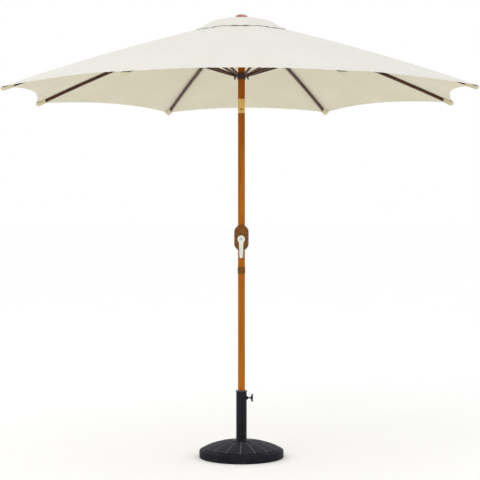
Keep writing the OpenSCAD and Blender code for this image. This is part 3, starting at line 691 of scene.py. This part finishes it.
def band_columns(reach, edge):
    """Columns of a band, as shares of the reach: close together over the seam, then out to the edge."""
    seam = BAND_SIDE[-1]
    outer = seam + (edge[:, None] - seam) * np.array([0.25, 0.5, 0.75, 1.0])[None, :]
    over_seam = np.repeat(BAND_SIDE[None, :], len(edge), axis=0)
    return np.concatenate([np.zeros((len(edge), 1)), over_seam, outer], axis=1) / reach[:, None]


def fin_w(line):
    edge = (band_edge(line) - 0.6) / reach_of(line)
    return edge[:, None] + FIN_COLS[None, :] * (MID_GORE - edge[:, None])


def band_w(line):
    return band_columns(reach_of(line), band_edge(line))


def mirrored_strip(points, uv):
    """One side of a strip and its mirror image, joined at the middle column."""
    other = points[:, :0:-1] * np.array([1, -1, 1])
    other_uv = uv[:, :0:-1] * np.array([-1, 1])
    return np.concatenate([other, points], axis=1), np.concatenate([other_uv, uv], axis=1)


def gore_beside(i, mirror):
    """The number of the gore on one side of rib i."""
    return (i - 2) % RIBS if mirror else i - 1


def fold_fin(obj, i):
    """Attaches a fin to rib i, so that it turns with the rib, and gives it a mesh of its own."""
    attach(obj, f"rib_{i}")
    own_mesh(obj)


def build_canopy(i):
    """The main cloth around rib i: a band over the rib, and a fin on each side out to mid-gore."""
    rib = f"rib_{i}"
    points, uv = mirrored_strip(*main_cloth(band_w, i - 1))
    band = cloth_piece(f"canopy_band_{i}", turned_to(i, points), uv)
    fit(band, rib, "canopy_fabric", f"canopy_panel_{i}")
    for side, mirror in SIDES:
        points, uv = main_cloth(fin_w, gore_beside(i, mirror))
        fin = cloth_piece(f"canopy_{side}_{i}", turned_to(i, points, mirror), uv)
        fold_fin(fin, i)


for i in range(1, RIBS + 1):
    build_canopy(i)

# -------- vent cap and crown

CAP_ROWS = np.concatenate([np.linspace(0, 0.88, 12), [0.905, 0.915, 0.925, 0.935, 0.95, 0.985, 1.0]])
CAP_SEAM = 0.8  # height of the cap's seams against the canopy's


def cap_hem(w):
    return CAP_R + 11 - 15 * (2 * np.abs(w) - w * w)


def cap_cloth(w_of, gore):
    """A grid of points of the vent cap, from the crown's edge out to its hem."""
    cols = w_of(cap_line(np.array([200.0]))).shape[1]
    w = np.zeros((len(CAP_ROWS), cols))
    for _ in range(8):
        x = CAP_START + CAP_ROWS[:, None] * (cap_hem(w) - CAP_START)
        w = np.stack([w_of(cap_line(x[:, j]))[:, j] for j in range(cols)], axis=1)
    across = w * x * math.sin(HALF)
    t = CAP_ROWS[:, None] + 0 * w
    hump = 0.5 - 0.5 * np.cos(math.pi * w)
    lift = 0.5 * t**3 * hump + 1.3 * t**4 * np.cos(3 * math.pi * w) * ease(w, 0.1, 0.4)
    lift -= (4.8 + 2.2 * hump) * t**5
    lift += (1.6 * math.sin(GORE_PHASE[gore] * 2.3)) * t**2 * hump
    from_hem = 1.155 * (1 - t) * (cap_hem(w) - CAP_START)
    lift += folded_edge(from_hem) + felled_seam(across) * CAP_SEAM
    points = beside_rib(cap_line(x), across, w) + lift[..., None] * np.array([0, 0, 1.0])
    return points, np.stack([across, x], axis=-1)


def cap_band_w(line):
    reach = reach_of(line)
    return band_columns(reach, np.minimum(band_edge(line), reach * MID_GORE))


def cap_fin_w(line):
    edge = np.minimum((band_edge(line) - 0.5) / reach_of(line), MID_GORE - 0.004)
    return edge[:, None] + np.linspace(0, 1, 18)[None, :] * (MID_GORE - edge[:, None])


def crown_points():
    """One eighth of the crown, from the finial out to where the cap's strips begin."""
    x, w = np.meshgrid(np.linspace(12, CAP_START + 1.5, 18), np.linspace(0, 1, 9), indexing="ij")
    across = w * x * math.sin(HALF)
    gather = 0.5 * np.cos(6 * math.pi * w) * ease(x, 30, 45) * (1 - ease(x, 50, 60))
    lift = felled_seam(across) * CAP_SEAM * ease(x, 28, 60) + gather
    points = beside_rib(cap_line(x), across, w) + lift[..., None] * np.array([0, 0, 1.0])
    return points, np.stack([across, x], axis=-1)


def build_cap(i):
    """The cap's cloth around rib i, and its eighth of the crown."""
    rib = f"rib_{i}"
    points, uv = mirrored_strip(*cap_cloth(cap_band_w, i - 1))
    band = cloth_piece(f"cap_band_{i}", turned_to(i, points), uv)
    fit(band, rib, "canopy_fabric")
    for side, mirror in SIDES:
        points, uv = cap_cloth(cap_fin_w, gore_beside(i, mirror))
        fin = cloth_piece(f"cap_{side}_{i}", turned_to(i, points, mirror), uv)
        fold_fin(fin, i)
    points, uv = mirrored_strip(*crown_points())
    crown = cloth_piece(f"cap_crown_{i}", turned_to(i, points), uv)
    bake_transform(crown)


for i in range(1, RIBS + 1):
    build_cap(i)


def build_pocket(i):
    """The pocket under the hem that holds the tip of rib i."""
    along = np.array([-64.0, -62, -54, -42, -28, -15, -6, -1, 2.0, 3.2, 3.8])
    d, c = np.meshgrid(along, np.linspace(-1, 1, 25), indexing="ij")
    half = 11 + 13 * ease(d, -64, -4)
    closing = 1 - 0.98 * ease(d, 1.0, 3.8)
    drop = (19.5 - 5.5 * ease(d, -9.0, 0.0)) * ease(np.abs(c), 1.0, 0.16) * closing
    pucker = 0.7 * np.cos(9 * c + d / 9) * np.sin(math.pi * (1 - np.abs(c)))
    y = c * half
    back = np.abs(y) * math.tan(HALF) + 0.225 * np.abs(y)
    points = rib_line(RIB_L + d, FABRIC_TOP - FABRIC_T - 0.3) + np.stack([-back, y, 0 * y], axis=-1)
    points = points - (drop + pucker * (drop > 2))[..., None] * UP
    uv = np.stack([y, d + 70], axis=-1)
    pocket = cloth_piece(f"tip_pocket_{i}", turned_to(i, points), uv, POCKET_PAINTED_SHADE, POCKET_T)
    # Both sides of the pocket get the darker cloth, which is painted shade.
    pocket.data.materials[0] = POCKET_PAINTED_SHADE
    fit(pocket, f"rib_{i}", "canopy_fabric")


for i in range(1, RIBS + 1):
    build_pocket(i)

# -------- base

DIVIDERS, STAKES, PITCH = 16, 64, 8.0
SHOULDER_Z, FLANGE_R, WEAVE_HIGH = 42.0, 49.0, 2.3


def dome(f, t=0.0):
    """A point of the dome's profile, at a share f of the way up it and t below its skin."""
    r0, r1 = BASE_R - 7, FLANGE_R - 2
    return r0 + (r1 - r0) * f, SHOULDER_Z + (DOME_Z - SHOULDER_Z) * (f + 0.22 * math.sin(math.pi * f)) - t


def weave_height(r, a, h):
    """Height of the basket weave and its radial ribs above the dome."""
    ring = (r - 58) / PITCH
    number = np.floor(ring)
    inside = ease(r, 54, 60) * (1 - ease(r, 204, 209)) * (h > SHOULDER_Z - 4)
    strand = np.sqrt(np.clip(1 - (2 * (ring - number) - 1) ** 2, 0, 1))
    over = 0.5 + 0.5 * np.sin(STAKES / 2 * a + math.pi * number)
    stake = np.abs(np.cos(STAKES / 2 * a)) ** 0.7
    weave = 0.25 + 1.55 * np.maximum(strand * (0.25 + 0.75 * over), 0.8 * stake * (1 - 0.8 * over))
    near = np.abs((a * DIVIDERS / (2 * math.pi) + 0.5) % 1 - 0.5) * 2 * math.pi / DIVIDERS * r
    rib = 1 - ease(near, 2.0, 3.4)
    return inside * (weave * (1 - rib) + WEAVE_HIGH * rib)


def woven(r, a, h):
    return r, h + weave_height(r, a, h)


def mark_painted_glint_crests(shell):
    """Writes each point's height in the weave, 0 to 1, for the resin's material, which lightens the crests by
    it as a painted highlight.
    """
    at = np.zeros(len(shell.data.vertices) * 3)
    shell.data.vertices.foreach_get("co", at)
    x, y, z = (at.reshape(-1, 3) * 1000).T
    painted_glint_crest = shell.data.attributes.new("painted_glint_crest", "FLOAT", "POINT")
    painted_glint_crest.data.foreach_set("value", weave_height(np.hypot(x, y), np.arctan2(y, x), z) / WEAVE_HIGH)


def build_base():
    """The moulded base: its rim, a plain band, the woven dome and the hollow inside."""
    shoulder, foot = (BASE_R - 8, SHOULDER_Z + 0.8), BASE_R - 28
    side = [(BASE_R - 0.6, 0.3), (BASE_R, 30.0), (BASE_R - 1.5, SHOULDER_Z - 3), shoulder]
    rim = rounded([(foot, 4.0), (foot, 0.3), *side], [0, 1.5, 4, 6, 5, 0], 6)
    band = rounded([shoulder, dome(0.05), dome(0.062, 1.4), dome(0.075, 1.4), dome(0.09)], 1.2, 4)
    top = [dome(f) for f in np.linspace(0.1, 0.97, 150)]
    hollow = [(FLANGE_R - 4, DOME_Z), (7, DOME_Z), (7, 60), (21, 60), (21, 5), (BASE_R - 8, 5), (foot, 5)]
    shell = lathe("base_weave", rim + band[1:] + top + hollow, RESIN, n=768, shape=woven, sharp=50)
    mark_painted_glint_crests(shell)
    fit(shell, "base", "base_resin", "base_shell")


def build_base_collar():
    """The flange where the tube leaves the dome."""
    steps = [
        (28.6, 0.4), (FLANGE_R, 0.4), (FLANGE_R - 0.3, 3.6), (43, 6.4),
        (37, 6.6), (34, 8.6), (31.4, 11.3), (29.1, 11.5),
    ]
    profile = rounded([(r, DOME_Z + z) for r, z in steps], [0, 0.8, 2, 3, 1.5, 2, 1.2, 0], 5)
    flange = lathe("base_collar", profile, BLACK, n=128)
    fit(flange, "base", "base_trim", "base_flange")


def build_reducer():
    """The reducer ring in the tube's mouth."""
    steps = [(26.9, 31), (26.9, 6.6), (32, 6.6), (32, 1.2), (30, 0), (21.5, 0), (19.1, 2.2), (19.1, 31)]
    profile = rounded([(r, RING_TOP - z) for r, z in steps], [0, 0, 0.8, 1.4, 1.4, 1.0, 1.0, 0], 5)
    ring = lathe("reducer_collar", profile, RING_PAINTED_HIGHLIGHT, n=128, closed=True)
    fit(ring, "reducer_ring", "ring_plastic", "reducer_ring")


def build_clamp_knob():
    """The clamp's knob: a hub with two lobes, moulded in one."""
    at = (0, 0, CLAMP_Z)
    profile = rounded([(0, 49.5), (8.2, 49.5), (9.6, 52), (9.2, 56), (8.4, 60.5), (5.5, 62.6), (0, 63)], 1.2)
    parts = [lathe("knob_hub", profile, BLACK, "X", at, 48)]
    lobe = rounded([(0, 53), (4.6, 53.6), (6.2, 58), (5.2, 62.5), (0, 64.2)], 2.4)
    section = ((54, -3.6), (62, -3.4), (62, 3.4), (54, 3.6))
    for side in (-1, 1):
        at = (0, 0, CLAMP_Z + side * 15.6)
        parts.append(lathe(f"knob_lobe_{side + 1}", lobe, BLACK, "X", at, 40))
        corners = [(x, y, CLAMP_Z + side * z) for z in (2, 15) for x, y in section]
        faces = quads(2, 4, wrap=True) + [(3, 2, 1, 0), (4, 5, 6, 7)]
        parts.append(cleaned(piece(f"knob_neck_{side + 1}", corners, faces, BLACK)))
    knob = fused("clamp_handle", parts, 0.55, 7, BLACK)
    fit(knob, "clamp_screw", "black_plastic", "clamp_knob")


build_base()
build_base_collar()
build_reducer()
build_clamp_knob()

# -------- pole fittings


def build_joint_sleeve():
    """The sleeve over the pole's joint, with the same small ribs at both ends."""
    height = JOINT_HIGH - JOINT_LOW
    steps = ((0, 20.0), (0.8, 20.55), (6.0, 20.6), (7.0, 20.2), (7.8, 20.2), (8.8, 20.6), (18.5, 20.75))
    lower = [(r, JOINT_LOW + z) for z, r in steps]
    upper = [(r, JOINT_LOW + height - (z - JOINT_LOW)) for r, z in reversed(lower[:-1])]
    profile = rounded([(19.1, JOINT_LOW), *lower, *upper, (19.1, JOINT_HIGH)], 0.5, 4)
    sleeve = lathe("joint_collar", profile, BRONZE, n=96, closed=True)
    fit(sleeve, "lower_pole", "sleeve_bronze", "joint_sleeve")


def build_finial():
    """The finial: a low turned dome over a short stem."""
    top = mm("finial")[1][2]
    steps = [
        (2.9, 18.4), (33, 18.4), (35, 16.6), (34.6, 13.4), (33.6, 12.6), (33.2, 11.8),
        (31.5, 7.2), (27, 3.4), (20, 1.2), (11, 0.3), (0, 0),
    ]
    profile = [(2.9, HUB_Z - 6)] + [(r, top - down) for r, down in steps]
    profile = rounded(profile, [0, 0, 1, 1.2, 0.8, 0.5, 1, 3, 4, 5, 4, 0], 5)
    finial = lathe("finial_knob", profile, TURNED, n=96, sharp=50)
    fit(finial, "upper_pole", "finial_wood", "finial")


def build_button_coil():
    """The tilt button's spring: a coil that runs from the button to its seat."""
    steps, sides, coil_r, wire_r, turns, gap = 241, 8, 2.5, 0.38, 6.5, 0.4
    seat, front = mm("button_spring")[1][1], mm("button_spring")[0][1]
    coil_z = middle("button_spring")[2]
    at = np.linspace(0, 1, steps)
    spin = 2 * math.pi * turns * at
    rise = ease(at, -0.35, 1.35)
    rise = front + gap + (seat - front - 2 * gap) * (rise - rise[0]) / (rise[-1] - rise[0])
    centre = np.stack([coil_r * np.cos(spin), rise, coil_r * np.sin(spin)], axis=-1)
    out = np.stack([np.cos(spin), 0 * spin, np.sin(spin)], axis=-1)
    around = np.linspace(0, 2 * math.pi, sides + 1)[:-1][None, :, None]
    wire = centre[:, None] + wire_r * (np.cos(around) * out[:, None] + np.sin(around) * np.array([0, 1.0, 0]))
    points = wire + np.array([0, 0, coil_z])
    spring = cleaned(piece("button_coil", points, tube_faces(steps, sides), SHAFT_STEEL))
    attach(spring, "upper_pole")
    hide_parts("button_spring")
    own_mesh(spring)


build_joint_sleeve()
build_finial()
build_button_coil()

# -------- lift cord

CORD_Y, CORD_R = 23.0, 1.25
CORD_FOOT = RUNNER_Z - 11


def cord_run(name, points, sides=14):
    """A round cord along points, with its braid's lay wound round it."""
    points = np.array(points, float)
    along = np.gradient(points, axis=0)
    along /= np.linalg.norm(along, axis=1)[:, None]
    side = np.array([1.0, 0, 0])
    up = np.cross(along, side)
    a = np.linspace(0, 2 * math.pi, sides, endpoint=False)
    skin = np.cos(a)[None, :, None] * side + np.sin(a)[None, :, None] * up[:, None]
    rings = points[:, None] + CORD_R * skin
    run = np.concatenate([[0], np.cumsum(np.linalg.norm(np.diff(points, axis=0), axis=1))])
    girth = np.repeat(a[None, :] * CORD_R, len(points), axis=0)
    length = np.repeat(run[:, None], sides, axis=1)
    faces = quads(len(points), sides, wrap=True)
    obj = cleaned(piece(name, rings, faces, CORD, np.stack([girth, length], axis=-1)))
    return obj


def build_lift_cord():
    """The cord over its pulley and down to the runner, in lengths that draw apart on closing."""
    over = [(0, 15 - 8 * math.cos(t), HUB_Z + 8 * math.sin(t)) for t in np.linspace(0, math.pi, 17)]
    outer = [(0, CORD_Y, z) for z in np.linspace(HUB_Z, CORD_FOOT + 14, 12)]
    cord = cord_run("lift_cord_top", [(0, 7, HUB_Z - 46)] + over + outer[1:])
    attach(cord, "upper_pole")
    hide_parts("lift_cord_upper")
    for k in (1, 2):
        part = cord_run(f"lift_cord_run_{k}", outer)
        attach(part, "upper_pole")
        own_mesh(part)
    tail = cord_run("lift_cord_end", [(0, CORD_Y, z) for z in np.linspace(HUB_Z - 60, CORD_FOOT, 10)])
    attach(tail, "runner")


def build_knot():
    """The knot under the runner, from three fused turns."""
    profile = rounded([(0, -2.0), (2.3, -1.5), (2.3, 1.5), (0, 2.0)], 1.2)
    turns = []
    for k in range(3):
        at = (0.7 * math.cos(2.1 * k), CORD_Y + 0.7 * math.sin(2.1 * k), CORD_FOOT - 1.6 - 1.1 * k)
        turns.append(lathe(f"knot_{k}", profile, CORD, "Z", at, 20))
    knot = fused("lift_cord_knot", turns, 0.35, 3, CORD)
    fit(knot, "runner", "cord")


build_lift_cord()
build_knot()

# -------- crank

HOUSING_Z, HOUSING_RUN = CRANK_Z + 6, 31.0
SCREW_X, SCREW_Z, SCREW_R = 29, 34, 3.7
# the housing's outline radius and depth, from its back to its front
HOUSING_LAYERS = [
    (26, 30.0), (32.6, 30.0), (35.0, 29.5), (37.0, 28.0), (38.4, 25.6), (39.0, 22.0),
    (39.0, 12.0), (39.0, 0.8), (38.7, 0.45), (38.2, 0.4), (38.2, -0.4), (38.7, -0.45),
    (39.0, -0.8), (39.0, -10.0), (38.9, -17.0), (38.5, -22.0), (37.6, -26.5), (36.0, -30.4),
    (33.6, -33.4), (30.2, -35.6), (26.0, -36.9), (21.0, -37.6), (15.0, -38.0), (9.0, -38.1),
]


def capsule(r, y, n=120):
    """A ring of points: two half circles joined by straight sides."""
    a = np.linspace(0, 2 * math.pi, n, endpoint=False)
    z = np.sin(a) * r + np.where(np.sin(a) >= 0, 1, -1) * HOUSING_RUN
    return np.stack([np.cos(a) * r, np.full(n, y), z + HOUSING_Z], axis=-1)


def cut_away(obj, tool):
    """Cuts one solid out of another and deletes the cutter."""
    cut = obj.modifiers.new("recess", "BOOLEAN")
    cut.operation, cut.object, cut.solver = "DIFFERENCE", tool, "EXACT"
    bpy.context.view_layer.update()
    made = bpy.data.meshes.new_from_object(obj.evaluated_get(bpy.context.evaluated_depsgraph_get()))
    obj.modifiers.clear()
    obj.data = made
    bpy.data.objects.remove(tool)


def build_housing():
    """The crank housing, with its parting line and four screw recesses, and the shaft's collar."""
    rings = np.array([capsule(r, y) for r, y in HOUSING_LAYERS])
    housing = cleaned(piece("crank_housing", rings, tube_faces(*rings.shape[:2]), BURL), sharp=32)
    recess = [(0, -40), (SCREW_R, -40), (SCREW_R, -26.2), (0, -26.2)]
    for x in (-SCREW_X, SCREW_X):
        for z in (-SCREW_Z, SCREW_Z):
            cut_away(housing, lathe("screw_recess", recess, BURL, "-Y", (x, 0, HOUSING_Z + z), 32))
    housing.data.set_sharp_from_angle(angle=math.radians(32))
    fit(housing, "mid_pole", "housing_wood", "crank_front_shell", "crank_rear_shell")
    profile = rounded([(4.3, 37), (12.5, 37), (12.5, 39.4), (10.4, 41.2), (4.3, 41.2)], [0, 0, 1, 1, 0.4])
    collar = lathe("crank_collar", profile, BURL, "-Y", (0, 0, CRANK_Z), 64)
    fit(collar, "mid_pole", "housing_wood")


ARM_L = CRANK_Z - KNOB_Z
ARM_BACK, ARM_FRONT = 44.6, 53.4
ARM_DISC_R, ARM_END_R = 20.0, 9.4


def arm_half_width(z):
    """Half the arm's width at height z below the shaft, blending the hub's disc into the tapered arm."""
    disc = np.sqrt(np.clip(ARM_DISC_R**2 - z**2, 0, None))
    taper = 12.6 + (9.3 - 12.6) * np.clip(-z / ARM_L, 0, 1)
    end = np.sqrt(np.clip(ARM_END_R**2 - np.clip(-z - ARM_L, 0, None) ** 2, 0, None))
    body = np.where(-z > ARM_L, end, taper)
    k = 2.2
    merged = np.logaddexp(disc / k, np.where(z > 0, 0, body) / k) * k
    return np.where(z > 4, disc, np.where(z < -26, body, merged))


def bead(distance, width):
    """A rounded ridge, 1 at its middle."""
    return np.exp(-((distance / width) ** 2))


def edge_round(from_edge, radius):
    """How far a face drops towards its edge, as a share of the drop at the edge itself."""
    return 1 - np.sqrt(np.clip(1 - (1 - np.minimum(from_edge, radius) / radius) ** 2, 0, 1))


def arm_front(x, z, half, radius, in_from_edge):
    """Depth of the arm's face: the hub's rings, a groove along the arm with lips, and the knob's seat."""
    hub_rim = 1.1 * bead(radius - 16.8, 1.5) - 1.5 * (1 - ease(radius, 12.5, 14.5))
    hub_rim = hub_rim + 0.9 * bead(radius - 9.6, 1.2) - 0.8 * (1 - ease(radius, 5.6, 6.4))
    near_hub = 1 - ease(-z, 17.5, 21.0)
    groove_end = 1 - ease(-z, ARM_L - 17, ARM_L - 13)
    groove = -2.6 * (1 - ease(np.abs(x), 1.9, 3.1)) * ease(-z, 24, 28) * groove_end
    lip_end = 1 - ease(-z, ARM_L - 14, ARM_L - 8)
    side_lips = 0.8 * bead(np.abs(x) - (half - 3.4), 1.3) * ease(-z, 24, 30) * lip_end
    seat = 0.9 * (1 - ease(np.hypot(x, z + ARM_L), 7.2, 8.4))
    front = np.full(len(x), ARM_FRONT) - 1.6 * edge_round(in_from_edge, 3.0)
    return front + hub_rim * near_hub * (radius < 19.6) + groove + side_lips + seat


def arm_ring(z):
    """One closed section of the arm: across its front and back over its rear."""
    half = max(0.05, float(arm_half_width(np.array(z))))
    x = np.linspace(-1, 1, 41) * half
    in_from_edge = np.minimum(half - np.abs(x), 3.0)
    front = arm_front(x, z, half, np.hypot(x, z), in_from_edge)
    back = ARM_BACK + edge_round(in_from_edge, 2.0)
    level = np.full(len(x), z)
    top = np.stack([x, -front, level], axis=-1)
    bottom = np.stack([x[::-1], -back[::-1], level], axis=-1)
    return np.concatenate([top, bottom])


def build_crank_handle():
    """The crank's arm, the boss behind it and the knob's pin."""
    over_hub = ARM_DISC_R * np.cos(np.linspace(0, 1.3, 16))
    round_end = -ARM_L - ARM_END_R * np.sin(np.linspace(0.08, math.pi / 2, 14))
    levels = np.concatenate([over_hub, np.linspace(4, -ARM_L, 74), round_end])
    rings = np.array([arm_ring(z) for z in levels]) + np.array([0, 0, CRANK_Z])
    arm = cleaned(piece("crank_handle", rings, tube_faces(*rings.shape[:2]), PALE), sharp=50)
    profile = rounded([(4.2, 42.2), (8, 42.2), (8.6, 45.2), (4.2, 45.2)], [0, 0.6, 0, 0])
    boss = lathe("crank_boss", profile, PALE, "-Y", (0, 0, CRANK_Z), 48)
    profile = rounded([(0, 50), (2.5, 50), (2.5, 76), (1.5, 77), (0, 77)], 0.5)
    pin = lathe("knob_pin", profile, SHAFT_STEEL, "-Y", (0, 0, KNOB_Z), 32)
    for part in (arm, boss, pin):
        fit(part, "crank", "handle_grey")
    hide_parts("crank_arm")


def build_grip():
    """The finger knob, waisted in the middle and rounded at its end."""
    outline = [
        (2.7, 54.8), (7.2, 54.8), (8.4, 56.2), (8.1, 60), (7.3, 65), (7.4, 70),
        (8.3, 75), (8.5, 77.2), (7.6, 79.2), (5.4, 80.1), (4.6, 79.6), (0, 79.4),
    ]
    profile = rounded(outline, [0, 0.8, 1, 3, 3, 3, 3, 1.2, 1.2, 0.6, 0.5, 0], 5)
    grip = lathe("crank_grip", profile, PALE, "-Y", (0, 0, KNOB_Z), 72, sharp=50)
    fit(grip, "crank_knob", "handle_grey", "crank_knob")


build_housing()
build_crank_handle()
build_grip()

# -------- floor, light and camera

FLOOR_R, FLOOR_Z = 120000, -0.2
white = Paint("floor_pale", Roughness=0.9, Specular_IOR_Level=0.1)
soft = white.noise(white.at(), 1.2, 3.0)
white.colour(white.mix(white.span(soft, 0.3, 0.7), rgb(254, 254, 254), rgb(255, 255, 255)))
floor = lathe("floor", [(0, FLOOR_Z), (800, FLOOR_Z), (FLOOR_R, FLOOR_Z)], white.mat, n=96)
if floor.data.polygons[0].normal.z < 0:
    floor.data.flip_normals()

world = bpy.data.worlds.new("studio")
scene.world = world
world.use_nodes = True
sky = next(n for n in world.node_tree.nodes if n.type == "BACKGROUND")
sky.inputs["Color"].default_value = (1.0, 1.0, 1.0, 1.0)
sky.inputs["Strength"].default_value = 1.0


def lamp(name, place, aim, size, power, colour=(1, 1, 1)):
    data = bpy.data.lights.new(name, "AREA")
    data.shape, data.size, data.energy, data.color = "DISK", size, power, colour
    obj = bpy.data.objects.new(name, data)
    obj.location = place
    obj.rotation_mode = "QUATERNION"
    obj.rotation_quaternion = (Vector(aim) - Vector(place)).to_track_quat("-Z", "Y")
    scene.collection.objects.link(obj)


lamp("key", (-3.6, -5.0, 6.2), (0, 0, 1.6), 3.5, 62)
lamp("fill", (5.0, -4.0, 2.6), (0, 0, 1.2), 4.0, 14)
lamp("low", (-1.5, -5.5, 0.9), (0, 0, 1.2), 2.5, 16)

EYE_AWAY, EYE_HIGH, EYE_TURN = 7.3, 1.30, math.radians(-1.6)
camera = bpy.data.cameras.new("camera")
camera.lens, camera.sensor_width = 101.0, 36.0
camera.shift_x, camera.shift_y = -0.003, -0.048
camera.clip_start, camera.clip_end = 0.1, 500
eye = bpy.data.objects.new("camera", camera)
eye.location = (-EYE_AWAY * math.sin(EYE_TURN), -EYE_AWAY * math.cos(EYE_TURN), EYE_HIGH)
eye.rotation_euler = (math.pi / 2, 0, -EYE_TURN)
scene.collection.objects.link(eye)
scene.camera = eye
scene.view_settings.view_transform = "Standard"
scene.view_settings.look = "None"
